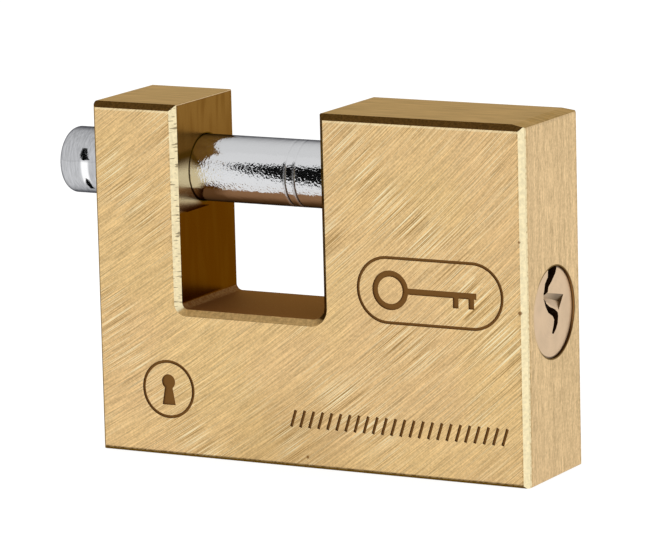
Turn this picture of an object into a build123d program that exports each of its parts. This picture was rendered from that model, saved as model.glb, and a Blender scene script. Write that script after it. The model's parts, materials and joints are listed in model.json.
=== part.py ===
from build123d import *
import os

# Block padlock: a solid brass body with a gap in its top, a straight steel bolt that slides
# across the gap, and a pin-tumbler cylinder in the right end that works a rising catch.
# Millimetres. +X points to the key end, +Y to the back, +Z up.
# The origin is the centre of the base face.

os.makedirs("parts", exist_ok=True)

# ---- Lock body ----
body_length = 85.0
body_depth = 21.8
body_height = 63.1
left_end = -body_length / 2
right_end = body_length / 2
gap_left = -25.9
gap_right = 2.8
gap_floor = 26.5
gap_left_corner_radius = 1.2
gap_right_corner_radius = 2.3
broad_chamfer = 1.05
fine_chamfer = 0.45
corner_round = 0.3
worn_slope_run = 2.6
worn_slope_drop = 0.45
worn_slope_round = 0.5

# ---- Bolt ----
bolt_axis_z = 50.5
bolt_radius = 6.0
bolt_clearance = 0.09
bolt_outer_end = -53.2
bolt_inner_end = 18.5
bolt_bore_end = 19.0
bolt_nose_round = 1.4
bolt_tail_chamfer = 1.0
bolt_travel = 44.5

# ---- Stop pin in the left leg, and its groove in the back of the bolt ----
stop_pin_x = -34.2
stop_pin_radius = 1.5
stop_groove_depth = 1.5
stop_groove_side_clearance = 0.1
stop_pin_tip_clearance = 0.25
stop_pin_sink = 0.2

# ---- Cylinder plug ----
plug_axis_z = 29.0
plug_radius = 6.5
plug_bore_clearance = 0.06
plug_rear = 16.0
plug_head_radius = 7.98
plug_head_back = 39.0
plug_face = 42.15
opening_radius = 8.06
head_end_play = 0.05
rear_end_play = 0.2

# ---- Keyway: its outline about the plug's axis, as (back, up) ----
keyway_end = 19.8
keyway_outline = [
    (1.7, 8.5),
    (1.9, 7.5),
    (1.45, 6.6),
    (-0.1, 5.4),
    (-1.4, 4.6),
    (-1.6, 3.9),
    (-2.6, 3.3),
    (-2.7, 2.5),
    (-2.3, 1.9),
    (-1.1, 1.15),
    (1.05, 0.3),
    (2.1, -0.4),
    (2.3, -1.0),
    (2.05, -2.3),
    (1.35, -3.2),
    (0.3, -3.95),
    (-0.3, -3.65),
    (0.35, -2.5),
    (0.65, -1.45),
    (0.1, -0.75),
    (-1.6, 0.15),
    (-2.65, 1.4),
    (-3.2, 2.6),
    (-3.2, 3.9),
    (-2.75, 5.4),
    (-1.6, 6.4),
    (-1.35, 8.5),
]
# The key guide is a V cut in the plug's face. Each end is given as (out of the face, up the end).
# The left end is upright, and the right end leans back about its own middle, given as (back, up).
key_guide_left_y = -3.35
key_guide_left = [(0.1, 4.15), (0.1, 2.6), (-0.6, 3.3)]
key_guide_right_middle = (3.4, 1.1)
key_guide_right_lean = 0.8
key_guide_right = [(0.1, 1.9), (0.1, -1.85), (-0.5, 0.15)]

# ---- Retaining pin, tangent to a ring groove near the plug's rear ----
retaining_pin_radius = 1.0
retaining_pin_x = 18.2
retaining_pin_y = 6.0
retaining_pin_low = 0.2
retaining_pin_top = 31.0
ring_groove_radius = 4.9
ring_groove_width = 2.2

# ---- Cam on the plug's rear ----
cam_radius = 4.5
cam_bore_radius = 4.8
cam_bore_end = 12.5
cam_front = 14.3
cam_pin_radius = 1.5
cam_pin_throw = 1.5
cam_pin_end = 10.8
tongue_length = 2.0
tongue_width = 5.0
tongue_height = 2.0

# ---- Catch ----
catch_x = 10.0
catch_radius = 4.0
catch_bore_radius = 4.05
catch_bore_top = 48.0
catch_low = 20.0
catch_tip = 44.2
catch_tip_chamfer = 0.4
catch_lift = 2 * cam_pin_throw
catch_slot_height = 3.9
catch_slot_floor = 10.5
notch_length = 8.6
notch_top = 47.8
bore_plug_length = 4.0
bore_plug_chamfer = 0.25
catch_spring_radius = 3.1
catch_spring_wire = 0.35
catch_spring_turns = 8

# ---- Pin stacks ----
stack_pitch = 3.6
first_stack_x = 36.2
key_pin_lengths = [5.0, 6.0, 4.5, 5.5, 5.0]
stack_x = [first_stack_x - number * stack_pitch for number in range(len(key_pin_lengths))]
chamber_radius = 1.5
chamber_depth_in_plug = 1.0
pin_radius = 1.45
key_pin_top = plug_axis_z + 6.3
key_pin_point = 0.85
driver_low = plug_axis_z + 6.57
driver_length = 5.4
driver_chamfer = 0.2
driver_top = driver_low + driver_length
chamber_plug_low = 51.0
driver_spring_radius = 1.1
driver_spring_wire = 0.15
driver_spring_turns = 10

# ---- Engraving in the front face ----
engraving_depth = 0.25
line_width = 0.55
cartouche_centre = (24.05, 33.0)
cartouche_length = 28.4
cartouche_height = 12.0
bow_centre = (16.4, 33.0)
bow_radius = 3.5
shaft_width = 1.1
shaft_end = 33.6
tooth_height = 2.3
tooth_x = [29.6, 32.6]
roundel_centre = (-28.6, 12.0)
roundel_radius = 5.3
keyhole_radius = 1.35
keyhole_height = 4.2
band_centre = (17.35, 8.75)
band_stroke_height = 3.2
band_stroke_pitch = 1.8
band_strokes = 24
band_slant = -18


def rod(plane, centre, radius, length, mode=Mode.ADD):
    """A round bar, or with Mode.SUBTRACT a bore, that starts on a plane."""
    with BuildSketch(plane) as section:
        with Locations(centre):
            Circle(radius)
    extrude(section.sketch, amount=length, mode=mode)


def coil_spring(x, low, high, coil_radius, wire_radius, turns):
    """A round-wire compression spring on a vertical axis at (x, 0)."""
    height = high - low - 2 * wire_radius
    with BuildPart() as spring:
        with BuildLine() as wire_line:
            Helix(
                pitch=height / turns,
                height=height,
                radius=coil_radius,
                center=(x, 0, low + wire_radius),
            )
        with BuildSketch(Plane(origin=wire_line.line @ 0, z_dir=wire_line.line % 0)):
            Circle(wire_radius)
        sweep(path=wire_line.line, is_frenet=True)
    return spring


def is_base_or_left_edge(edge):
    """True for the edges that have only a fine chamfer."""
    middle = edge.center()
    return middle.Z < fine_chamfer / 2 or middle.X < left_end + fine_chamfer / 2


def is_outer_corner(edge):
    """True for the front-to-back edges at the base and the tops of the two legs."""
    height = edge.center().Z
    return height < fine_chamfer / 2 or height > body_height - fine_chamfer / 2


def is_key_end_top(edge):
    """True for the front-to-back edge where the key end meets the top or its worn slope."""
    middle = edge.center()
    return middle.Z > body_height - 1.5 * worn_slope_drop and middle.X > right_end - fine_chamfer / 2


# ---- lock_body ----
with BuildPart() as lock_body:
    # The block, with the gap cut down from its top.
    with BuildSketch(Plane.XZ) as outline:
        with Locations((0, body_height / 2)):
            Rectangle(body_length, body_height)
        with Locations(((gap_left + gap_right) / 2, gap_floor)):
            Rectangle(
                gap_right - gap_left,
                body_height,
                align=(Align.CENTER, Align.MIN),
                mode=Mode.SUBTRACT,
            )
        floor_corners = outline.vertices().group_by(Axis.Y)[1].sort_by(Axis.X)
        fillet(floor_corners[-1], gap_right_corner_radius)
        floor_corners = outline.vertices().group_by(Axis.Y)[1].sort_by(Axis.X)
        fillet(floor_corners[0], gap_left_corner_radius)
    extrude(amount=body_depth / 2, both=True)

    # Broad chamfers on the front and back faces, and fine ones at the base and the left end.
    face_edges = lock_body.faces().filter_by(Axis.Y).edges()
    chamfer(face_edges.filter_by(lambda edge: not is_base_or_left_edge(edge)), broad_chamfer)
    face_edges = lock_body.faces().filter_by(Axis.Y).edges()
    chamfer(face_edges.filter_by(is_base_or_left_edge), fine_chamfer)

    # The top falls in a shallow worn slope to a rounded edge at the key end.
    key_end_edge = lock_body.edges().filter_by(Axis.Y).filter_by(is_key_end_top)
    top_face = lock_body.faces().filter_by(Axis.Z).sort_by(Axis.Z)[-1]
    chamfer(
        key_end_edge,
        worn_slope_run,
        worn_slope_drop,
        reference=top_face,
    )
    key_end_edge = lock_body.edges().filter_by(Axis.Y).filter_by(is_key_end_top)
    fillet(key_end_edge, worn_slope_round)
    fillet(lock_body.edges().filter_by(Axis.Y).filter_by(is_outer_corner), corner_round)

    # The blind bolt bore, and the stop pin's hole from the back face.
    rod(
        Plane.YZ.offset(left_end),
        (0, bolt_axis_z),
        bolt_radius + bolt_clearance,
        bolt_bore_end - left_end,
        Mode.SUBTRACT,
    )
    rod(
        Plane.XZ.offset(-body_depth / 2),
        (stop_pin_x, bolt_axis_z),
        stop_pin_radius,
        body_depth / 2 - bolt_radius + stop_groove_depth,
        Mode.SUBTRACT,
    )

    # The stepped bore for the plug and its cam.
    head_seat = plug_head_back - head_end_play
    plug_bore_end = plug_rear - rear_end_play
    rod(
        Plane.YZ.offset(head_seat),
        (0, plug_axis_z),
        opening_radius,
        right_end - head_seat,
        Mode.SUBTRACT,
    )
    rod(
        Plane.YZ.offset(plug_bore_end),
        (0, plug_axis_z),
        plug_radius + plug_bore_clearance,
        head_seat - plug_bore_end,
        Mode.SUBTRACT,
    )
    rod(
        Plane.YZ.offset(cam_bore_end),
        (0, plug_axis_z),
        cam_bore_radius,
        plug_bore_end - cam_bore_end,
        Mode.SUBTRACT,
    )

    # Bores from below for the catch and the retaining pin.
    rod(Plane.XY, (catch_x, 0), catch_bore_radius, catch_bore_top, Mode.SUBTRACT)
    rod(
        Plane.XY,
        (retaining_pin_x, retaining_pin_y),
        retaining_pin_radius,
        retaining_pin_top,
        Mode.SUBTRACT,
    )

    # Pin chambers, drilled from the top into the plug bore.
    for x in stack_x:
        rod(
            Plane.XY.offset(plug_axis_z),
            (x, 0),
            chamber_radius,
            body_height - plug_axis_z,
            Mode.SUBTRACT,
        )

    # Engraving: a key in a rounded frame, a keyhole in a ring, and a band of slanted strokes.
    with BuildSketch(Plane.XZ.offset(body_depth / 2 - engraving_depth)):
        with Locations(cartouche_centre):
            SlotOverall(cartouche_length, cartouche_height)
            SlotOverall(
                cartouche_length - 2 * line_width,
                cartouche_height - 2 * line_width,
                mode=Mode.SUBTRACT,
            )
        with Locations(bow_centre):
            Circle(bow_radius)
            Circle(bow_radius - shaft_width, mode=Mode.SUBTRACT)
        with Locations((bow_centre[0] + bow_radius - shaft_width / 2, bow_centre[1])):
            Rectangle(
                shaft_end - bow_centre[0] - bow_radius,
                shaft_width,
                align=(Align.MIN, Align.CENTER),
            )
        with Locations(*[(x, bow_centre[1]) for x in tooth_x]):
            Rectangle(shaft_width, tooth_height, align=(Align.MAX, Align.MAX))
        with Locations(roundel_centre):
            Circle(roundel_radius)
            Circle(roundel_radius - line_width, mode=Mode.SUBTRACT)
        with Locations((roundel_centre[0], roundel_centre[1] + keyhole_radius)):
            Circle(keyhole_radius)
        with Locations((roundel_centre[0], roundel_centre[1] + keyhole_radius)):
            Trapezoid(
                2 * keyhole_radius,
                keyhole_height,
                80,
                align=(Align.CENTER, Align.MAX),
            )
        with Locations(band_centre):
            with GridLocations(band_stroke_pitch, 1, band_strokes, 1):
                Rectangle(line_width, band_stroke_height, rotation=band_slant)
    extrude(amount=engraving_depth, mode=Mode.SUBTRACT)
lock_body.part.label = "lock_body"
export_step(lock_body.part, "parts/lock_body.step")


# ---- shackle_bolt ----
with BuildPart() as shackle_bolt:
    rod(
        Plane.YZ.offset(bolt_outer_end),
        (0, bolt_axis_z),
        bolt_radius,
        bolt_inner_end - bolt_outer_end,
    )
    end_edges = shackle_bolt.edges().filter_by(GeomType.CIRCLE).sort_by(Axis.X)
    fillet(end_edges[0], bolt_nose_round)
    end_edges = shackle_bolt.edges().filter_by(GeomType.CIRCLE).sort_by(Axis.X)
    chamfer(end_edges[-1], bolt_tail_chamfer)

    # The groove that the stop pin rides in, along the back of the bolt.
    with BuildSketch(Plane.XZ.offset(stop_groove_depth - bolt_radius)):
        with Locations((stop_pin_x + bolt_travel / 2, bolt_axis_z)):
            SlotCenterToCenter(
                bolt_travel + 2 * stop_groove_side_clearance,
                2 * (stop_pin_radius + stop_groove_side_clearance),
            )
    extrude(amount=-2 * stop_groove_depth, mode=Mode.SUBTRACT)

    # The notch in the underside that the catch rises into.
    with BuildSketch(Plane.XZ):
        with Locations((catch_x, notch_top)):
            Rectangle(notch_length, bolt_radius, align=(Align.CENTER, Align.MAX))
    extrude(amount=bolt_radius, both=True, mode=Mode.SUBTRACT)
shackle_bolt.part.label = "shackle_bolt"
export_step(shackle_bolt.part, "parts/shackle_bolt.step")


# ---- bolt_stop_pin ----
with BuildPart() as bolt_stop_pin:
    pin_back = body_depth / 2 - stop_pin_sink
    pin_tip = bolt_radius - stop_groove_depth + stop_pin_tip_clearance
    rod(
        Plane.XZ.offset(-pin_back),
        (stop_pin_x, bolt_axis_z),
        stop_pin_radius,
        pin_back - pin_tip,
    )
bolt_stop_pin.part.label = "bolt_stop_pin"
export_step(bolt_stop_pin.part, "parts/bolt_stop_pin.step")


# ---- cylinder_plug ----
with BuildPart() as cylinder_plug:
    rod(
        Plane.YZ.offset(plug_rear),
        (0, plug_axis_z),
        plug_radius,
        plug_head_back - plug_rear,
    )
    rod(
        Plane.YZ.offset(plug_head_back),
        (0, plug_axis_z),
        plug_head_radius,
        plug_face - plug_head_back,
    )

    # The ring groove for the retaining pin.
    with BuildSketch(Plane.YZ.offset(retaining_pin_x - ring_groove_width / 2)):
        with Locations((0, plug_axis_z)):
            Circle(plug_head_radius)
            Circle(ring_groove_radius, mode=Mode.SUBTRACT)
    extrude(amount=ring_groove_width, mode=Mode.SUBTRACT)

    # Chambers for the key pins.
    for x in stack_x:
        rod(
            Plane.XY.offset(plug_axis_z - chamber_depth_in_plug),
            (x, 0),
            chamber_radius,
            plug_head_radius + chamber_depth_in_plug,
            Mode.SUBTRACT,
        )

    # The S-shaped keyway, open at the top of the plug, and a V-shaped key guide across its mouth.
    with BuildSketch(Plane.YZ.offset(keyway_end)):
        with Locations((0, plug_axis_z)):
            Polygon(*keyway_outline, align=None)
    extrude(amount=plug_face - keyway_end, mode=Mode.SUBTRACT)
    with BuildSketch(Plane.XZ.offset(-key_guide_left_y)):
        with Locations((plug_face, plug_axis_z)):
            Polygon(*key_guide_left, align=None)
    guide_back, guide_up = key_guide_right_middle
    guide_right_end = Plane(
        origin=(plug_face, guide_back, plug_axis_z + guide_up),
        x_dir=(1, 0, 0),
        z_dir=(0, -1, key_guide_right_lean),
    )
    with BuildSketch(guide_right_end):
        Polygon(*key_guide_right, align=None)
    loft(ruled=True, mode=Mode.SUBTRACT)

    # The slot in the rear that takes the cam's tongue.
    with BuildSketch(Plane.YZ.offset(plug_rear)):
        with Locations((0, plug_axis_z)):
            Rectangle(tongue_width, tongue_height)
    extrude(amount=tongue_length, mode=Mode.SUBTRACT)
cylinder_plug.part.label = "cylinder_plug"
export_step(cylinder_plug.part, "parts/cylinder_plug.step")


# ---- plug_cam ----
with BuildPart() as plug_cam:
    rod(Plane.YZ.offset(cam_front), (0, plug_axis_z), cam_radius, plug_rear - cam_front)
    rod(
        Plane.YZ.offset(cam_pin_end),
        (0, plug_axis_z - cam_pin_throw),
        cam_pin_radius,
        cam_front - cam_pin_end,
    )
    with BuildSketch(Plane.YZ.offset(plug_rear)):
        with Locations((0, plug_axis_z)):
            Rectangle(tongue_width, tongue_height)
    extrude(amount=tongue_length)
plug_cam.part.label = "plug_cam"
export_step(plug_cam.part, "parts/plug_cam.step")


# ---- plug_retaining_pin ----
with BuildPart() as plug_retaining_pin:
    rod(
        Plane.XY.offset(retaining_pin_low),
        (retaining_pin_x, retaining_pin_y),
        retaining_pin_radius,
        retaining_pin_top - retaining_pin_low,
    )
plug_retaining_pin.part.label = "plug_retaining_pin"
export_step(plug_retaining_pin.part, "parts/plug_retaining_pin.step")


# ---- locking_catch ----
with BuildPart() as locking_catch:
    rod(Plane.XY.offset(catch_low), (catch_x, 0), catch_radius, catch_tip - catch_low)
    chamfer(locking_catch.faces().sort_by(Axis.Z)[-1].edges(), catch_tip_chamfer)
    with BuildSketch(Plane.XZ):
        with Locations((catch_slot_floor, plug_axis_z - cam_pin_throw)):
            Rectangle(2 * catch_radius, catch_slot_height, align=(Align.MIN, Align.CENTER))
    extrude(amount=2 * catch_radius, both=True, mode=Mode.SUBTRACT)
locking_catch.part.label = "locking_catch"
export_step(locking_catch.part, "parts/locking_catch.step")


# ---- catch_spring ----
catch_spring = coil_spring(
    catch_x,
    bore_plug_length,
    catch_low,
    catch_spring_radius,
    catch_spring_wire,
    catch_spring_turns,
)
catch_spring.part.label = "catch_spring"
export_step(catch_spring.part, "parts/catch_spring.step")


# ---- catch_bore_plug ----
with BuildPart() as catch_bore_plug:
    rod(Plane.XY, (catch_x, 0), catch_bore_radius, bore_plug_length)
    chamfer(catch_bore_plug.faces().sort_by(Axis.Z)[0].edges(), bore_plug_chamfer)
catch_bore_plug.part.label = "catch_bore_plug"
export_step(catch_bore_plug.part, "parts/catch_bore_plug.step")


# ---- key_pin_N, driver_pin_N and driver_spring_N ----
for number, (x, key_pin_length) in enumerate(zip(stack_x, key_pin_lengths), start=1):
    with BuildPart() as key_pin:
        rod(Plane.XY.offset(key_pin_top - key_pin_length), (x, 0), pin_radius, key_pin_length)
        chamfer(key_pin.faces().sort_by(Axis.Z)[0].edges(), key_pin_point)
        chamfer(key_pin.faces().sort_by(Axis.Z)[-1].edges(), driver_chamfer)
    key_pin.part.label = f"key_pin_{number}"
    export_step(key_pin.part, f"parts/key_pin_{number}.step")

    with BuildPart() as driver_pin:
        rod(Plane.XY.offset(driver_low), (x, 0), pin_radius, driver_length)
        chamfer(driver_pin.faces().filter_by(Axis.Z).edges(), driver_chamfer)
    driver_pin.part.label = f"driver_pin_{number}"
    export_step(driver_pin.part, f"parts/driver_pin_{number}.step")

    driver_spring = coil_spring(
        x,
        driver_top,
        chamber_plug_low,
        driver_spring_radius,
        driver_spring_wire,
        driver_spring_turns,
    )
    driver_spring.part.label = f"driver_spring_{number}"
    export_step(driver_spring.part, f"parts/driver_spring_{number}.step")


# ---- chamber_plugs ----
with BuildPart() as chamber_plugs:
    for x in stack_x:
        rod(
            Plane.XY.offset(chamber_plug_low),
            (x, 0),
            chamber_radius,
            body_height - chamber_plug_low,
        )
chamber_plugs.part.label = "chamber_plugs"
export_step(chamber_plugs.part, "parts/chamber_plugs.step")
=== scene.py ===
import json
import math

import bpy
from mathutils import Matrix, Vector


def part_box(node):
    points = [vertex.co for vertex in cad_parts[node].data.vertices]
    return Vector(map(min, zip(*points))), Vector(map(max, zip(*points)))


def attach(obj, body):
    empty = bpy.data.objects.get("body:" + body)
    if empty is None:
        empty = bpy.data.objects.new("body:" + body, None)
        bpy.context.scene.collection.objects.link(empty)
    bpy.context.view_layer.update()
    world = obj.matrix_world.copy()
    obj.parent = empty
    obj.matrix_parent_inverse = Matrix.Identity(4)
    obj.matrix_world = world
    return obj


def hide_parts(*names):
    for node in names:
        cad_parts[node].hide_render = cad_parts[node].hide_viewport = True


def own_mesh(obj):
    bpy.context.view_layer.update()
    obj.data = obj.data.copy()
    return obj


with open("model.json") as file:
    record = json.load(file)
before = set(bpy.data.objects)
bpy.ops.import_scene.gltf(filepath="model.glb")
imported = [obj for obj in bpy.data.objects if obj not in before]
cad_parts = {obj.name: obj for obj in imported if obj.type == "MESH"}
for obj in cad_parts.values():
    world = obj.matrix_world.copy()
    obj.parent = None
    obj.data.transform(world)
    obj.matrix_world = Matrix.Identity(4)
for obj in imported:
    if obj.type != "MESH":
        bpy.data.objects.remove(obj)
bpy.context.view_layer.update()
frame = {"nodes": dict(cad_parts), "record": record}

# Materials work in millimetres of the row's frame: +X to the key end, +Y back, +Z up.
MM = 0.001

# The roughness of the finer noise in every streak, from 0, smooth, to 1.
STREAK_ROUGHNESS = 0.6

# ---- Places in millimetres: read from the frame's boxes where these give them ----
body_low, body_high = (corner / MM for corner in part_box("lock_body"))
FRONT_Y = body_low.y
BACK_Y = body_high.y
RIGHT_X = body_high.x
TOP_Z = body_high.z
GAP_LEFT_X = -25.9
GAP_RIGHT_X = 2.8
GAP_FLOOR_Z = 26.5
PLUG_AXIS_Z = 29.0
BOLT_AXIS_Z = 50.5
BOLT_RADIUS = 6.0
OPENING_RADIUS = 8.06
CYLINDER_LEFT_X = 10.0
BROAD_CHAMFER = 1.05
ENGRAVING_START = 0.04
ENGRAVING_END = 0.32

# ---- Camera: the angle and lens of the photograph ----
CAMERA_TARGET_Z = 31.0
CAMERA_AZIMUTH = 28.53
CAMERA_ELEVATION = 10.58
CAMERA_ROLL = 1.43
CAMERA_DISTANCE = 854.6
CAMERA_SHIFT_RIGHT = 0.389
CAMERA_SHIFT_UP = -2.682
CAMERA_LENS = 260.76
CAMERA_SENSOR = 36
CAMERA_NEAREST = 10.0


# ---- Node helpers ----
def grey(value):
    """A grey, or a number for an input that takes a colour."""
    return (value, value, value)


class Shader:
    """A material's node tree, with short names for the nodes that the materials here use."""

    def __init__(self, name):
        self.material = bpy.data.materials.new(name)
        self.material.use_nodes = True
        self.tree = self.material.node_tree
        self.principled = self.tree.nodes["Principled BSDF"]
        coordinates = self.tree.nodes.new("ShaderNodeTexCoord")
        inputs = {0: coordinates.outputs["Object"], "Scale": 1 / MM}
        self.point = self.node("ShaderNodeVectorMath", inputs, operation="SCALE").outputs["Vector"]
        self.x, self.y, self.z = self.split(self.point)
        self.normal_x, self.normal_y, self.normal_z = self.split(coordinates.outputs["Normal"])

    def node(self, kind, inputs, **settings):
        """A node with its settings made and its inputs linked or set."""
        made = self.tree.nodes.new(kind)
        for key, value in settings.items():
            setattr(made, key, value)
        for key, value in inputs.items():
            if isinstance(value, bpy.types.NodeSocket):
                self.tree.links.new(value, made.inputs[key])
            elif value is not None:
                made.inputs[key].default_value = value
        return made

    def math(self, operation, first, second=None):
        """One of Blender's math operations on one or two numbers."""
        return self.node("ShaderNodeMath", {0: first, 1: second}, operation=operation).outputs[0]

    def split(self, vector):
        """A vector's three coordinates."""
        return self.node("ShaderNodeSeparateXYZ", {0: vector}).outputs

    def join(self, x, y, z):
        """A vector made of three coordinates."""
        return self.node("ShaderNodeCombineXYZ", {0: x, 1: y, 2: z}).outputs[0]

    def times(self, first, *others):
        """A product."""
        for other in others:
            first = self.math("MULTIPLY", first, other)
        return first

    def plus(self, first, *others):
        """A sum."""
        for other in others:
            first = self.math("ADD", first, other)
        return first

    def flip(self, value):
        """One minus a value."""
        return self.math("SUBTRACT", 1.0, value)

    def size(self, value):
        """A value without its sign."""
        return self.math("ABSOLUTE", value)

    def between(self, value, low, high, to_low=0.0, to_high=1.0):
        """Smooth step: to_low below low, to_high above high."""
        inputs = {0: value, 1: low, 2: high, 3: to_low, 4: to_high}
        made = self.node("ShaderNodeMapRange", inputs, interpolation_type="SMOOTHSTEP")
        return made.outputs[0]

    def near(self, value, centre, reach, blur):
        """1 within reach of centre, falling to 0 over blur."""
        away = self.size(self.math("SUBTRACT", value, centre))
        return self.between(away, reach, reach + blur, 1.0, 0.0)

    def above(self, value, edge, blur=0.02):
        """1 above an edge, 0 below it."""
        return self.between(value, edge - blur, edge + blur)

    def mix(self, factor, first, second):
        """The first colour at factor 0, the second at 1."""
        made = self.node("ShaderNodeMix", {0: factor}, data_type="RGBA")
        for index, value in ((6, first), (7, second)):
            if isinstance(value, bpy.types.NodeSocket):
                self.tree.links.new(value, made.inputs[index])
            else:
                made.inputs[index].default_value = (*value, 1.0)
        return made.outputs[2]

    def noise(self, vector, scale, detail=2.0, roughness=0.5, seed=0.0):
        """Noise of mean 0.5, with scale in features per unit of the vector."""
        inputs = {
            "Vector": vector,
            "W": seed,
            "Scale": scale,
            "Detail": detail,
            "Roughness": roughness,
        }
        made = self.node("ShaderNodeTexNoise", inputs, noise_dimensions="4D")
        return made.outputs[0]

    def streaks(self, along, across, length, width, seed, detail=2.0):
        """Noise drawn out along one coordinate: streaks of about that length and width, in mm."""
        run = self.math("DIVIDE", along, length)
        step = self.math("DIVIDE", across, width)
        return self.noise(self.join(run, step, 0.0), 1.0, detail, STREAK_ROUGHNESS, seed)

    def tones(self, colour, factor, dark, light):
        """A colour that goes from its dark to its light tone, as the factor goes from 0.3 to 0.7."""
        darker = tuple(channel * dark for channel in colour)
        lighter = tuple(min(1.0, channel * light) for channel in colour)
        return self.mix(self.between(factor, 0.3, 0.7), darker, lighter)

    def radius_about(self, first, first_centre, second, second_centre):
        """The distance from a point, in the plane of two coordinates."""
        one = self.math("SUBTRACT", first, first_centre)
        two = self.math("SUBTRACT", second, second_centre)
        return self.math("SQRT", self.plus(self.times(one, one), self.times(two, two)))

    def bump(self, height, strength, distance):
        """A bumped normal; height is 0 to 1, distance in mm."""
        inputs = {"Strength": strength, "Distance": distance * MM, "Height": height}
        return self.node("ShaderNodeBump", inputs).outputs[0]

    def finish(self, colour, roughness, metallic=1.0, normal=None):
        """Sets the surface and returns the material."""
        for name, value in (("Base Color", colour), ("Roughness", roughness), ("Metallic", metallic)):
            if isinstance(value, bpy.types.NodeSocket):
                self.tree.links.new(value, self.principled.inputs[name])
            elif isinstance(value, tuple):
                self.principled.inputs[name].default_value = (*value, 1.0)
            else:
                self.principled.inputs[name].default_value = value
        if normal is not None:
            self.tree.links.new(normal, self.principled.inputs["Normal"])
        return self.material


# ---- Colours, linear ----
FRONT_BRASS = (0.71, 0.495, 0.228)
FRONT_PINK = (0.70, 0.468, 0.245)
# Brown of scratches, dots and worn flecks, also a painted shade patch low on the front.
SCRATCH_AND_SHADE_BROWN = (0.31, 0.18, 0.055)
END_BRASS = (0.665, 0.505, 0.31)
# Painted shade: the top and base brass is darker than the front and ends.
SHADED_TOP_BRASS = (0.345, 0.235, 0.118)
# Painted highlight in cream; painted shade in dark brown, which also colours the chatter marks; painted shade
# on the sill.
HIGHLIGHT_CREAM = (0.87, 0.75, 0.47)
SHADE_AND_CHATTER_BROWN = (0.078, 0.038, 0.009)
SILL_SHADE_BROWN = (0.48, 0.31, 0.125)
# Painted shade in the gap: the walls, darker downwards, the floor and the fillets.
GAP_SHADE_TOP_BROWN = (0.19, 0.094, 0.028)
GAP_SHADE_LOW_BROWN = (0.062, 0.010, 0.003)
GAP_FLOOR_SHADE_BROWN = (0.22, 0.090, 0.026)
FILLET_SHADE_BROWN = (0.30, 0.165, 0.065)
GROOVE_BROWN = (0.20, 0.095, 0.026)
# Painted shade in crevices, bores and the keyway, and painted shade and painted light in the plug's opening.
CREVICE_SHADE_BROWN = (0.045, 0.018, 0.006)
OPENING_SHADE_BROWN = (0.13, 0.06, 0.02)
OPENING_LIT_AMBER = (0.50, 0.28, 0.11)
# Painted shade in the key guide.
GUIDE_SHADE_BROWN = (0.15, 0.10, 0.05)
PLUG_BRASS = (0.61, 0.44, 0.275)
CHROME_GREY = (0.65, 0.655, 0.665)
CHROME_DULL = (0.47, 0.475, 0.49)
# Painted highlight on the bolt's outer end, and painted shade beside its scores.
CHROME_HIGHLIGHT = (0.92, 0.92, 0.93)
SCORE_SHADE_GREY = grey(0.12)
PIN_BRASS = (0.78, 0.56, 0.27)
PIN_STEEL = (0.48, 0.48, 0.49)
INNER_STEEL = (0.40, 0.39, 0.38)
SPRING_STEEL = (0.52, 0.52, 0.53)
FLOOR_GREY = grey(0.24)
FLOOR_PALE = grey(0.27)
# Colours of the cards that paint dark shade and a warm glow into the bolt's reflections.
REFLECTED_SHADE_BLACK = grey(0.004)
REFLECTED_GLOW_AMBER = (0.37, 0.19, 0.09)
REFLECTED_GLOW_UMBER = (0.15, 0.065, 0.022)
BLACK = grey(0.0)

# ---- Tints of the reflections that glance off a metal ----
WARM_GLANCE = (1.0, 0.78, 0.45, 1.0)
DARK_GLANCE = (0.12, 0.12, 0.13, 1.0)

# ---- Roughness and relief ----
GROUND_ROUGH = 0.42
GAP_WALL_ROUGH = 0.25
GAP_FLOOR_ROUGH = 0.75
CHAMFER_ROUGH = 0.38
GROOVE_ROUGH = 0.6
RELIEF_STRENGTH = 0.6
RELIEF_DEPTH = 0.04

# ---- Grinding lines on the front and back: arcs about a far point up and to the left ----
GRIND_ANGLE = math.radians(38)
GRIND_RADIUS = 350.0
GRIND_MIDDLE_Z = 30.0
GRIND_CENTRE_X = -GRIND_RADIUS * math.sin(GRIND_ANGLE)
GRIND_CENTRE_Z = GRIND_MIDDLE_Z + GRIND_RADIUS * math.cos(GRIND_ANGLE)

# ---- Wear and marks, with painted shade and painted highlights, in millimetres ----
NICKS = [(41.35, 43.0, 0.22), (41.3, 30.7, 0.34), (-0.7, 2.0, 0.26)]  # x, z and radius, in the front
RIM_WIDTH = 0.15
SHADE_PATCH_X = -4.0
SHADED_FOOT_HEIGHT = 0.68
WORN_TOP_LENGTH = 3.2
BOLT_SCORES = (-6.8, -5.0)
BOLT_DULL_X = -36.0
BOLT_STREAK_X = -47.6
BOLT_STREAK_DROP = 1.3

# ---- Places on the plug's face, in millimetres ----
GUIDE_TIP_Y = 1.95
GUIDE_TIP_RISE = 1.2
GUIDE_TIP_REACH = 1.6
PLUG_RIM_RADIUS = 7.74
PLUG_RIM_X = 40.0


# ---- Materials ----
def grinding_arcs(s):
    """The run along the grinding arcs and the step across them, in mm."""
    step = s.radius_about(s.x, GRIND_CENTRE_X, s.z, GRIND_CENTRE_Z)
    rise = s.math("SUBTRACT", s.z, GRIND_CENTRE_Z)
    turn = s.math("ARCTAN2", rise, s.math("SUBTRACT", s.x, GRIND_CENTRE_X))
    return s.times(turn, GRIND_RADIUS), step


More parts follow.
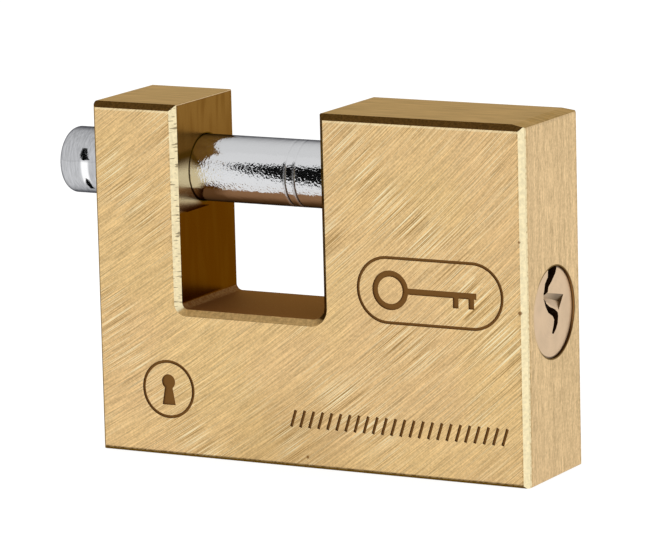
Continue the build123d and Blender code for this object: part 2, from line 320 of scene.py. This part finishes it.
def front_finish(s):
    """Ground front and back: fine arcs, patches of deep scratches and faint pink clouds, with painted
    highlights and painted shade.
    """
    run, step = grinding_arcs(s)
    fine = s.streaks(run, step, length=6.0, width=0.15, seed=1.0)
    coarse = s.streaks(run, step, length=16.0, width=0.32, seed=18.0, detail=1.0)
    deep = s.streaks(run, step, length=15.0, width=0.13, seed=2.0, detail=0.0)
    grit = s.noise(s.point, scale=2.4, roughness=0.6, seed=23.0)
    fine = s.plus(s.times(fine, 0.5), s.times(coarse, 0.25), s.times(grit, 0.25))
    patch = s.between(s.noise(s.point, scale=0.075, detail=1.0, seed=3.0), 0.42, 0.66)
    cloud = s.between(s.noise(s.point, scale=0.05, seed=7.0), 0.35, 0.65)
    brass = s.tones(FRONT_BRASS, fine, 0.58, 1.36)
    pink = s.tones(FRONT_PINK, fine, 0.60, 1.34)
    colour = s.mix(s.times(cloud, 0.4), brass, pink)

    # The deepest scratches are dark, and a painted highlight lies on the highest ridges, most of all in the
    # patches.
    scratch = s.times(s.between(deep, 0.62, 0.68), s.plus(s.times(patch, 0.7), 0.2))
    painted_glint = s.times(s.between(deep, 0.33, 0.38, 1.0, 0.0), s.plus(s.times(patch, 0.7), 0.25))
    colour = s.mix(scratch, colour, SCRATCH_AND_SHADE_BROWN)
    colour = s.mix(painted_glint, colour, HIGHLIGHT_CREAM)

    # Beside the bright chamfers the edge is dotted with brown, and along the top a painted highlight lines
    # it.
    rim_offset = BROAD_CHAMFER + RIM_WIDTH
    gap_rim = s.times(s.near(s.x, GAP_LEFT_X - rim_offset, 0.1, 0.12), s.above(s.z, GAP_FLOOR_Z))
    chamfer_rim = s.plus(gap_rim, s.near(s.x, RIGHT_X - rim_offset, 0.1, 0.12))
    dots = s.between(s.noise(s.point, scale=1.8, detail=1.0, seed=19.0), 0.5, 0.6)
    colour = s.mix(s.times(chamfer_rim, dots, 0.5), colour, SCRATCH_AND_SHADE_BROWN)
    highlight_lip = s.times(s.near(s.z, TOP_Z - BROAD_CHAMFER - 0.2, 0.12, 0.12), s.above(fine, 0.45, 0.1))
    colour = s.mix(s.times(highlight_lip, 0.6), colour, HIGHLIGHT_CREAM)

    # A painted shade patch low in the middle, and painted shade along the foot.
    shade_patch = s.near(s.radius_about(s.x, SHADE_PATCH_X, s.z, 0.0), 0.0, 5.0, 14.0)
    colour = s.mix(s.times(shade_patch, 0.22), colour, SCRATCH_AND_SHADE_BROWN)
    foot = s.flip(s.above(s.z, SHADED_FOOT_HEIGHT, 0.14))
    colour = s.mix(s.times(foot, s.between(dots, 0.0, 1.0, 0.75, 0.95)), colour, SHADE_AND_CHATTER_BROWN)
    relief = s.plus(fine, s.times(deep, -0.9, s.plus(patch, 0.35)))
    return colour, relief


def end_finish(s):
    """Ground ends: fine upright lines, broad faint bands, and a brown line beside the bright chamfers."""
    fine = s.streaks(s.z, s.y, length=3.0, width=0.22, seed=4.0, detail=3.0)
    broad = s.streaks(s.z, s.y, length=30.0, width=1.6, seed=5.0, detail=1.0)
    grit = s.noise(s.point, scale=2.2, detail=3.0, roughness=0.7, seed=24.0)
    shade = s.plus(s.times(fine, 0.5), s.times(broad, 0.2), s.times(grit, 0.3))
    colour = s.tones(END_BRASS, shade, 0.58, 1.36)
    fleck = s.noise(s.point, scale=1.3, roughness=0.6, seed=6.0)
    chamfer_line = s.above(s.size(s.y), BACK_Y - BROAD_CHAMFER - 0.38, 0.12)
    chamfer_line = s.times(chamfer_line, s.above(s.x, 0.0))
    colour = s.mix(s.times(chamfer_line, s.between(fleck, 0.3, 0.8), 0.7), colour, SCRATCH_AND_SHADE_BROWN)
    return colour, s.plus(fine, s.times(broad, 0.4))


def shaded_top_finish(s):
    """The top and base: lines along the length, darker than the faces by painted shade, and worn at the key
    end.
    """
    fine = s.streaks(s.x, s.y, length=9.0, width=0.4, seed=8.0)
    colour = s.tones(SHADED_TOP_BRASS, fine, 0.72, 1.30)
    fleck = s.noise(s.point, scale=0.9, roughness=0.6, seed=17.0)
    worn = s.times(s.above(s.x, RIGHT_X - WORN_TOP_LENGTH, 0.6), s.between(fleck, 0.56, 0.66))
    return s.mix(s.times(worn, 0.6), colour, SCRATCH_AND_SHADE_BROWN), fine


def shaded_gap_wall(s):
    """The colour of the gap's walls in painted shade, darker downwards, with a painted shade band and a
    painted highlight band beside the bolt and painted shade round it.
    """
    mottle = s.noise(s.point, scale=0.22, seed=9.0)
    height = s.plus(s.z, s.times(mottle, 6.0), -3.0)
    wall = s.mix(s.between(height, BOLT_AXIS_Z - 8.0, TOP_Z - 2.0), GAP_SHADE_LOW_BROWN, GAP_SHADE_TOP_BROWN)
    smear = s.streaks(s.z, s.y, length=12.0, width=2.0, seed=12.0, detail=1.0)
    smeared = s.times(s.between(smear, 0.45, 0.65), s.between(s.z, BOLT_AXIS_Z, TOP_Z, 0.15, 0.6))
    wall = s.mix(smeared, wall, s.mix(0.4, GAP_SHADE_LOW_BROWN, GAP_SHADE_TOP_BROWN))
    near_bolt = s.between(s.y, -5.0, -1.0, 1.0, 0.0)
    # A band of painted shade above the bolt and a band of painted highlight below it, on the walls.
    shade_band = s.times(s.near(s.z, BOLT_AXIS_Z + 3.0, 0.5, 0.9), near_bolt)
    highlight_band = s.times(s.near(s.z, BOLT_AXIS_Z - 2.0, 2.0, 3.0), near_bolt)
    wall = s.mix(s.times(shade_band, 0.75), wall, CREVICE_SHADE_BROWN)
    wall = s.mix(s.times(highlight_band, 0.9), wall, HIGHLIGHT_CREAM)
    # Painted shade in the crevice round the bolt.
    bolt_radius = s.radius_about(s.y, 0.0, s.z, BOLT_AXIS_Z)
    crevice = s.near(bolt_radius, BOLT_RADIUS + 0.15, 0.1, 0.06)
    return s.mix(s.times(crevice, 0.9), wall, CREVICE_SHADE_BROWN)


def shaded_gap_finish(s):
    """The milled gap in painted shade: smooth brown walls, and a mottled floor and fillets."""
    wall = shaded_gap_wall(s)
    grit = s.noise(s.point, scale=2.2, roughness=0.6, seed=10.0)
    floor = s.mix(s.between(grit, 0.6, 0.8), GAP_FLOOR_SHADE_BROWN, FILLET_SHADE_BROWN)
    fillet = s.mix(s.between(grit, 0.35, 0.65), GAP_FLOOR_SHADE_BROWN, FILLET_SHADE_BROWN)
    flat_wall = s.above(s.size(s.normal_x), 0.97, 0.02)
    flat_floor = s.above(s.normal_z, 0.97, 0.02)
    colour = s.mix(flat_wall, fillet, wall)
    return s.mix(flat_floor, colour, floor), s.times(grit, s.flip(flat_wall)), flat_wall


def lit_and_shaded_chamfers(s):
    """The chamfers: a painted highlight of bright cream on uprights that face right, and dark painted shade
    on the others and the sill.
    """
    chatter = s.streaks(s.z, s.x, length=0.42, width=1.4, seed=14.0, detail=1.0)
    fleck = s.noise(s.point, scale=1.6, roughness=0.6, seed=15.0)
    chattered = s.times(s.between(chatter, 0.57, 0.64), s.near(s.x, GAP_LEFT_X - 0.5, 1.0, 0.1))
    # Painted highlight on the chamfers that face right, with dark chatter marks on the gap's left one.
    bright = s.tones(HIGHLIGHT_CREAM, fleck, 0.90, 1.10)
    bright = s.mix(s.times(chattered, 0.65), bright, SHADE_AND_CHATTER_BROWN)
    grime = s.noise(s.point, scale=2.5, roughness=0.6, seed=16.0)
    # Painted shade on the other chamfers, a lighter brown on the sill.
    dark = s.tones(SHADE_AND_CHATTER_BROWN, grime, 0.75, 1.35)
    sill = s.times(s.near(s.z, GAP_FLOOR_Z - 0.4, 0.5, 0.3), s.above(s.normal_z, 0.3, 0.1))
    dark = s.mix(sill, dark, s.tones(SILL_SHADE_BROWN, fleck, 0.8, 1.2))
    border = s.times(s.near(s.x, RIGHT_X - 0.06, 0.08, 0.12), s.between(fleck, 0.35, 0.75))
    bright = s.mix(s.times(border, 0.7), bright, SCRATCH_AND_SHADE_BROWN)
    upright = s.above(s.size(s.normal_x), 0.5, 0.1)
    faces_right = s.above(s.normal_x, 0.3, 0.1)
    return s.mix(s.times(upright, faces_right), dark, bright), fleck


def gap_region(s, flat_y):
    """1 on the gap's walls, floor and fillets, inside its chamfers."""
    middle_x = (GAP_LEFT_X + GAP_RIGHT_X) / 2
    half_gap = (GAP_RIGHT_X - GAP_LEFT_X) / 2
    in_depth = s.flip(s.above(s.size(s.y), BACK_Y - BROAD_CHAMFER, 0.005))
    across = s.near(s.x, middle_x, half_gap + 0.01, 0.02)
    return s.times(across, s.above(s.z, GAP_FLOOR_Z - 0.1, 0.05), in_depth, s.flip(flat_y))


def bore_region(s, plug_radius):
    """1 inside the bolt's bore and the cylinder's, on their round walls."""
    bolt_radius = s.radius_about(s.y, 0.0, s.z, BOLT_AXIS_Z)
    bolt_bore = s.flip(s.above(bolt_radius, BOLT_RADIUS + 0.13, 0.01))
    plug_bore = s.flip(s.above(plug_radius, OPENING_RADIUS + 0.04, 0.01))
    bore = s.plus(bolt_bore, s.times(plug_bore, s.above(s.x, CYLINDER_LEFT_X)))
    return s.times(s.between(bore, 0.0, 1.0), s.flip(s.above(s.size(s.normal_x), 0.5)))


def paint_opening_light_and_shade(s, colour, plug_radius):
    """A colour with painted shade in the bores, painted light at the plug's opening, and a ring of painted
    shade round that.
    """
    opening = s.mix(s.near(s.z, PLUG_AXIS_Z + 1.0, 2.5, 3.5), OPENING_SHADE_BROWN, OPENING_LIT_AMBER)
    bore_shade = s.mix(s.above(s.x, RIGHT_X - 1.0), CREVICE_SHADE_BROWN, opening)
    colour = s.mix(bore_region(s, plug_radius), colour, bore_shade)
    # A ring of painted shade round the edge of the plug's opening.
    ring = s.times(s.near(plug_radius, OPENING_RADIUS + 0.08, 0.1, 0.08), s.above(s.x, RIGHT_X - 0.05))
    return s.mix(s.times(ring, s.between(s.y, -7.5, -4.0, 0.15, 0.85)), colour, CREVICE_SHADE_BROWN)


def engraved_region(s, flat_z, bevelled):
    """1 in the front's engraving."""
    depth = s.math("SUBTRACT", s.y, FRONT_Y)
    groove = s.times(s.above(depth, ENGRAVING_START), s.flip(s.above(depth, ENGRAVING_END)), s.flip(bevelled))
    return s.times(groove, s.flip(s.times(flat_z, s.above(s.z, TOP_Z - 0.1))))


def mark_nicks(s, colour):
    """A colour with the front's small dark nicks added."""
    for nick_x, nick_z, nick_radius in NICKS:
        nick = s.flip(s.above(s.radius_about(s.x, nick_x, s.z, nick_z), nick_radius, 0.12))
        colour = s.mix(s.times(nick, s.flip(s.above(s.y, 0.0)), 0.9), colour, GROOVE_BROWN)
    return colour


def body_brass():
    """The body: each face has its own finish, with painted shade on the top, in the gap and in the bores,
    painted highlight and shade on the chamfers, and dark engraving.
    """
    s = Shader("body_brass")
    flat_x = s.above(s.size(s.normal_x), 0.72, 0.04)
    flat_y = s.above(s.size(s.normal_y), 0.9, 0.05)
    flat_z = s.above(s.size(s.normal_z), 0.72, 0.04)
    in_gap = gap_region(s, flat_y)
    bevelled = s.times(s.above(s.size(s.normal_y), 0.3, 0.1), s.flip(flat_y))

    front, front_relief = front_finish(s)
    end, end_relief = end_finish(s)
    top, top_relief = shaded_top_finish(s)
    gap, gap_relief, flat_wall = shaded_gap_finish(s)
    edge, edge_relief = lit_and_shaded_chamfers(s)
    colour = s.mix(flat_x, front, end)
    colour = s.mix(flat_z, colour, top)
    colour = s.mix(in_gap, colour, gap)
    colour = s.mix(bevelled, colour, edge)
    colour = paint_opening_light_and_shade(s, colour, s.radius_about(s.y, 0.0, s.z, PLUG_AXIS_Z))
    groove = engraved_region(s, flat_z, bevelled)
    colour = mark_nicks(s, s.mix(groove, colour, GROOVE_BROWN))

    relief = s.plus(
        s.times(front_relief, flat_y),
        s.times(end_relief, flat_x, s.flip(in_gap)),
        s.times(top_relief, flat_z, s.flip(in_gap)),
        s.times(gap_relief, in_gap),
        s.times(edge_relief, bevelled, 0.6),
    )
    normal = s.bump(relief, RELIEF_STRENGTH, RELIEF_DEPTH)
    gap_rough = s.mix(flat_wall, grey(GAP_FLOOR_ROUGH), grey(GAP_WALL_ROUGH))
    roughness = s.mix(in_gap, grey(GROUND_ROUGH), gap_rough)
    roughness = s.mix(bevelled, roughness, grey(CHAMFER_ROUGH))
    roughness = s.mix(groove, roughness, grey(GROOVE_ROUGH))
    s.principled.inputs["Specular Tint"].default_value = WARM_GLANCE
    return s.finish(colour, roughness, normal=normal)


def bolt_chrome():
    """Chrome over a slightly pebbled bar, with two fine scores round it and painted shade beside them, and a
    duller outer end with a painted highlight streak.
    """
    s = Shader("bolt_chrome")
    inner = s.above(s.x, BOLT_DULL_X, 5.0)
    clear = s.between(s.x, GAP_LEFT_X, GAP_LEFT_X + 6.0, 0.25, 1.0)
    lower = s.between(s.z, BOLT_AXIS_Z + 0.5, BOLT_AXIS_Z + 3.5, 1.0, 0.1)

    # Pebbles stand out in a band along the front, and the scores fade out over the top.
    pebble = s.noise(s.point, scale=2.8, detail=1.0, seed=11.0)
    ripple = s.noise(s.point, scale=0.5, detail=1.0, seed=12.0)
    pitted = s.times(s.near(s.z, BOLT_AXIS_Z, 1.4, 1.5), s.flip(s.above(s.y, 0.0)))
    pits = s.times(pebble, s.plus(s.times(pitted, clear, 2.2), 0.3), s.between(inner, 0.0, 1.0, 0.1, 1.0))
    score = s.plus(*[s.near(s.x, score_x, 0.08, 0.4) for score_x in BOLT_SCORES])
    # Painted shade: a grey line beside each score, fading out over the top.
    shade = s.plus(*[s.near(s.x, score_x + 0.2, 0.08, 0.1) for score_x in BOLT_SCORES])
    normal = s.bump(s.plus(pits, ripple, s.times(score, lower, -3.5)), 0.8, 0.08)

    # The outer end is brushed and duller, with one painted highlight streak.
    lines = s.noise(s.join(s.times(s.x, 3.0), s.y, s.times(s.z, 0.3)), scale=1.0, roughness=0.6, seed=13.0)
    streak_height = s.near(s.z, BOLT_AXIS_Z - BOLT_STREAK_DROP, 1.7, 0.8)
    streak = s.times(s.near(s.x, BOLT_STREAK_X, 0.5, 0.5), streak_height)
    outer = s.mix(streak, s.tones(CHROME_DULL, lines, 0.85, 1.15), CHROME_HIGHLIGHT)
    colour = s.mix(inner, outer, CHROME_GREY)
    colour = s.mix(s.times(shade, lower, 0.65), colour, SCORE_SHADE_GREY)
    roughness = s.plus(s.between(pebble, 0.3, 0.7, 0.05, 0.12), s.times(score, lower, 0.4))
    s.principled.inputs["Specular Tint"].default_value = DARK_GLANCE
    return s.finish(colour, roughness, normal=normal)


def plug_brass():
    """Smooth satin brass, with faint turning rings on the face, a brown guide and a dark keyway in painted
    shade, and painted shade along the face's edge.
    """
    s = Shader("plug_brass")
    radius = s.radius_about(s.y, 0.0, s.z, PLUG_AXIS_Z)
    rings = s.noise(s.join(radius, 0.0, 0.0), scale=5.0, roughness=0.6, seed=21.0)
    cloud = s.noise(s.point, scale=0.25, seed=22.0)
    colour = s.tones(PLUG_BRASS, s.plus(s.times(rings, 0.4), s.times(cloud, 0.6)), 0.90, 1.10)

    # Painted shade: the key guide's slanting facet and the wall at its tip are brown, the other walls dark,
    # and a thin crescent at the face's edge dark.
    tip_height = s.near(s.z, PLUG_AXIS_Z + GUIDE_TIP_RISE, GUIDE_TIP_REACH, 0.1)
    at_tip = s.times(s.above(s.y, GUIDE_TIP_Y), tip_height)
    steep = s.flip(s.above(s.size(s.normal_x), 0.4, 0.1))
    walls = s.times(steep, s.flip(at_tip))
    facet = s.times(s.flip(s.above(s.normal_z, -0.25, 0.1)), s.above(s.normal_x, 0.5, 0.1))
    facet = s.times(facet, s.between(s.y, -2.0, 2.5, 0.5, 0.95))
    tip_wall = s.times(at_tip, steep)
    rim_shade = s.times(s.above(radius, PLUG_RIM_RADIUS, 0.06), s.above(s.x, PLUG_RIM_X))
    rim_shade = s.times(rim_shade, s.between(s.y, -6.5, -2.0, 0.1, 0.8))
    colour = s.mix(s.plus(facet, s.times(tip_wall, 0.85)), colour, GUIDE_SHADE_BROWN)
    colour = s.mix(s.plus(walls, rim_shade), colour, CREVICE_SHADE_BROWN)
    normal = s.bump(rings, 0.25, 0.01)
    roughness = s.between(walls, 0.0, 1.0, 0.36, 0.7)
    return s.finish(colour, roughness, normal=normal)


def turned_metal(name, colour, rough, seed):
    """Plain turned or drawn metal with fine lines round it and a little colour change."""
    s = Shader(name)
    across = s.join(s.times(s.x, 0.2), s.times(s.y, 0.2), s.times(s.z, 6.0))
    lines = s.noise(across, scale=1.0, roughness=0.6, seed=seed)
    cloud = s.noise(s.point, scale=0.4, seed=seed + 1)
    shade = s.tones(colour, s.plus(s.times(lines, 0.6), s.times(cloud, 0.4)), 0.7, 1.1)
    normal = s.bump(lines, 0.3, 0.01)
    roughness = s.between(cloud, 0.3, 0.7, rough, rough + 0.12)
    return s.finish(shade, roughness, normal=normal)


def stopper_brass():
    """The plugs that close the chambers and the catch bore, ground like the faces round them and darkened
    with the same painted shade.
    """
    s = Shader("stopper_brass")
    colour, relief = shaded_top_finish(s)
    normal = s.bump(relief, RELIEF_STRENGTH, RELIEF_DEPTH)
    s.principled.inputs["Specular Tint"].default_value = WARM_GLANCE
    return s.finish(colour, GROUND_ROUGH, normal=normal)


MATERIALS = {
    "body_brass": body_brass(),
    "bolt_chrome": bolt_chrome(),
    "plug_brass": plug_brass(),
    "stopper_brass": stopper_brass(),
    "pin_brass": turned_metal("pin_brass", PIN_BRASS, rough=0.25, seed=31.0),
    "pin_steel": turned_metal("pin_steel", PIN_STEEL, rough=0.3, seed=51.0),
    "inner_steel": turned_metal("inner_steel", INNER_STEEL, rough=0.35, seed=61.0),
    "spring_steel": turned_metal("spring_steel", SPRING_STEEL, rough=0.25, seed=71.0),
}
for part in frame["record"]["subparts"]:
    node = frame["nodes"][part["node"]]
    node.data.materials.clear()
    node.data.materials.append(MATERIALS[part["material_slot"]])


# ---- Driver springs, as coils from their pins up to the chamber plugs ----
SPRING_COUNT = 5
SPRING_WIRE = 0.15
SPRING_TURNS = 10
SPRING_TURN_POINTS = 20
SPRING_PIN_GAP = 0.03


def coil_mesh(centre_x, radius, foot, rise):
    """The mesh of a round-wire coil about an upright line in the body's middle plane, in mm."""
    steps = SPRING_TURNS * SPRING_TURN_POINTS
    wire = bpy.data.curves.new("coil", "CURVE")
    wire.dimensions = "3D"
    wire.bevel_depth = SPRING_WIRE * MM
    wire.bevel_resolution = 2
    wire.use_fill_caps = True
    line = wire.splines.new("POLY")
    line.points.add(steps)
    for step, point in enumerate(line.points):
        turn = 2 * math.pi * step / SPRING_TURN_POINTS
        x = centre_x + radius * math.cos(turn)
        z = foot + SPRING_WIRE + rise * step / steps
        point.co = (x * MM, radius * math.sin(turn) * MM, z * MM, 1.0)
    shaper = bpy.data.objects.new("coil", wire)
    mesh = bpy.data.meshes.new_from_object(shaper)
    bpy.data.objects.remove(shaper)
    mesh.polygons.foreach_set("use_smooth", [True] * len(mesh.polygons))
    return mesh


def driver_coil(number):
    """A coil in the place of a CAD driver spring, from its pin's top up to the chamber plugs. It stays in the
    body.
    """
    low, high = (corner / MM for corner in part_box(f"driver_spring_{number}"))
    middle_x = (low.x + high.x) / 2
    radius = (high.x - low.x) / 2 - SPRING_WIRE
    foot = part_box(f"driver_pin_{number}")[1].z / MM + SPRING_PIN_GAP
    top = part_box("chamber_plugs")[0].z / MM - SPRING_PIN_GAP
    rise = top - foot - 2 * SPRING_WIRE
    coil = bpy.data.objects.new(f"driver_coil_{number}", coil_mesh(middle_x, radius, foot, rise))
    bpy.context.scene.collection.objects.link(coil)
    coil.data.materials.clear()
    coil.data.materials.append(MATERIALS["spring_steel"])
    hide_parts(f"driver_spring_{number}")
    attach(coil, "case")
    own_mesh(coil)


for number in range(1, SPRING_COUNT + 1):
    driver_coil(number)


# ---- Floor, light and camera ----
FLOOR_REACH = 6.0
FLOOR_GLOW = 0.85
FLOOR_ROUGH = 0.8
HORIZON_LIGHT = 0.95
CEILING_LIGHT = 0.90
CEILING_STARTS = 0.25
CEILING_FULL = 0.75
LIGHT_TARGET = (0, 0, 0.03)
LIGHT_POWER = 0.2
CARD_ROUGH = 0.9

# ---- Cards that paint dark shade and a warm glow into the bolt's reflections, which alone show them: upright (x, z), and level (x, y) ----
CARD_Y = -10.4
CARD_Z = 43.5
GAP_SHADE_CARD = [(-21, 55.5), (-20, 52.5), (-12, 49.5), (-4, 47.5), (2.5, 46), (2.5, 57.5), (-12, 56.5)]
END_SPOT_SHADE_CARD = [(-53.3, 59.6), (-51.8, 59.2), (-49.3, 52.2), (-50.7, 52.0)]
END_BAR_SHADE_CARD = [(-51.2, -8.3), (-49.8, -7.7), (-48.3, -3.0), (-49.2, -3.0)]
WARM_GLOW_CARD = [(-25.88, -7.0), (2.7, -7.0), (2.7, 1.0), (-25.88, 1.0)]
CARD_FADE_Y = (-5.2, -2.0)
CARD_FADE_X = (-24.5, -19.5)


def flat_sheet(name, corners, material):
    """A flat sheet with the given corners, in mm, for the floor or a studio card."""
    mesh = bpy.data.meshes.new(name)
    points = [tuple(c * MM for c in corner) for corner in corners]
    mesh.from_pydata(points, [], [tuple(range(len(corners)))])
    mesh.materials.append(material)
    sheet = bpy.data.objects.new(name, mesh)
    bpy.context.scene.collection.objects.link(sheet)
    return sheet


def pale_floor():
    """A wide pale floor under the lock."""
    s = Shader("floor_white")
    grain = s.noise(s.point, scale=0.02, seed=81.0)
    colour = s.mix(grain, FLOOR_GREY, FLOOR_PALE)
    material = s.finish(colour, FLOOR_ROUGH, metallic=0.0)
    s.principled.inputs["Specular IOR Level"].default_value = 0.0
    s.principled.inputs["Emission Color"].default_value = (1, 1, 1, 1)
    s.principled.inputs["Emission Strength"].default_value = FLOOR_GLOW
    reach = FLOOR_REACH / MM
    corners = [(-reach, -reach, 0), (reach, -reach, 0), (reach, reach, 0), (-reach, reach, 0)]
    flat_sheet("floor", corners, material)


def reflection_card(name, corners, front, back):
    """A small glowing card of a front and a back colour, which paints its colours into reflections; neither
    the camera nor shadows show it.
    """
    s = Shader(name)
    grain = s.noise(s.point, scale=0.5, seed=91.0)
    material = s.finish(BLACK, CARD_ROUGH, metallic=0.0)
    s.principled.inputs["Specular IOR Level"].default_value = 0.0
    backward = s.between(s.y, *CARD_FADE_Y)
    leftward = s.between(s.x, *CARD_FADE_X, 1.0, 0.0)
    depth = s.plus(backward, leftward, s.times(grain, 0.1))
    s.tree.links.new(s.mix(depth, front, back), s.principled.inputs["Emission Color"])
    s.principled.inputs["Emission Strength"].default_value = 1.0
    card = flat_sheet(name, corners, material)
    card.visible_camera = False
    card.visible_diffuse = False
    card.visible_shadow = False


def studio_world():
    """A white room with a light grey ceiling; the camera itself sees only white."""
    world = bpy.data.worlds.new("studio")
    bpy.context.scene.world = world
    world.use_nodes = True
    tree = world.node_tree
    background = tree.nodes["Background"]
    background.inputs["Color"].default_value = (1, 1, 1, 1)
    coordinates = tree.nodes.new("ShaderNodeTexCoord")
    split = tree.nodes.new("ShaderNodeSeparateXYZ")
    tree.links.new(coordinates.outputs["Generated"], split.inputs[0])
    ceiling = tree.nodes.new("ShaderNodeMapRange")
    ceiling.interpolation_type = "SMOOTHSTEP"
    levels = (CEILING_STARTS, CEILING_FULL, HORIZON_LIGHT, CEILING_LIGHT)
    for index, value in enumerate(levels, start=1):
        ceiling.inputs[index].default_value = value
    tree.links.new(split.outputs["Z"], ceiling.inputs[0])
    path = tree.nodes.new("ShaderNodeLightPath")
    seen = tree.nodes.new("ShaderNodeMath")
    seen.operation = "MAXIMUM"
    tree.links.new(ceiling.outputs[0], seen.inputs[0])
    tree.links.new(path.outputs["Is Camera Ray"], seen.inputs[1])
    tree.links.new(seen.outputs[0], background.inputs["Strength"])


def outward(azimuth, elevation):
    """The unit vector from the lock to an angle round it, in radians. Azimuth 0 is in front."""
    level = math.cos(elevation)
    return Vector((math.sin(azimuth) * level, -math.cos(azimuth) * level, math.sin(elevation)))


def soft_light(name, azimuth, elevation, size):
    """An area light a metre from the lock's middle and aimed at it, at an angle in degrees."""
    light = bpy.data.lights.new(name, "AREA")
    light.shape = "RECTANGLE"
    light.size, light.size_y = size
    light.energy = LIGHT_POWER
    lamp = bpy.data.objects.new(name, light)
    bpy.context.scene.collection.objects.link(lamp)
    out = outward(math.radians(azimuth), math.radians(elevation))
    lamp.location = Vector(LIGHT_TARGET) + out
    lamp.rotation_euler = out.to_track_quat("Z", "Y").to_euler()


def photo_camera():
    """A long lens, in front, right of the middle and a little above."""
    turn, rise, roll = (math.radians(a) for a in (CAMERA_AZIMUTH, CAMERA_ELEVATION, CAMERA_ROLL))
    right = Vector((math.cos(turn), math.sin(turn), 0))
    back = outward(turn, rise)
    up = back.cross(right)
    rolled_right = right * math.cos(roll) - up * math.sin(roll)
    rolled_up = right * math.sin(roll) + up * math.cos(roll)
    axes = Matrix((rolled_right, rolled_up, back)).transposed()
    offset = Vector((-CAMERA_SHIFT_RIGHT, -CAMERA_SHIFT_UP, CAMERA_DISTANCE))
    place = (Vector((0, 0, CAMERA_TARGET_Z)) + axes @ offset) * MM
    camera_data = bpy.data.cameras.new("camera")
    camera_data.lens = CAMERA_LENS
    camera_data.sensor_width = CAMERA_SENSOR
    camera_data.clip_start = CAMERA_NEAREST * MM
    camera = bpy.data.objects.new("camera", camera_data)
    camera.matrix_world = Matrix.Translation(place) @ axes.to_4x4()
    bpy.context.scene.collection.objects.link(camera)
    bpy.context.scene.camera = camera


pale_floor()
# Dark cards paint shade into the bolt's reflections, and a glowing card under it paints a warm reflection.
for name, outline in (("gap_shade_card", GAP_SHADE_CARD), ("end_spot_shade_card", END_SPOT_SHADE_CARD)):
    reflection_card(name, [(x, CARD_Y, z) for x, z in outline], REFLECTED_SHADE_BLACK, REFLECTED_SHADE_BLACK)
reflection_card("end_bar_shade_card", [(x, y, CARD_Z) for x, y in END_BAR_SHADE_CARD], REFLECTED_SHADE_BLACK, REFLECTED_SHADE_BLACK)
reflection_card("warm_glow_card", [(x, y, CARD_Z) for x, y in WARM_GLOW_CARD], REFLECTED_GLOW_AMBER, REFLECTED_GLOW_UMBER)
studio_world()
soft_light("front_left_box", azimuth=-50, elevation=30, size=(1.2, 0.9))
soft_light("right_box", azimuth=75, elevation=25, size=(0.7, 0.7))
photo_camera()
bpy.context.scene.view_settings.view_transform = "Standard"
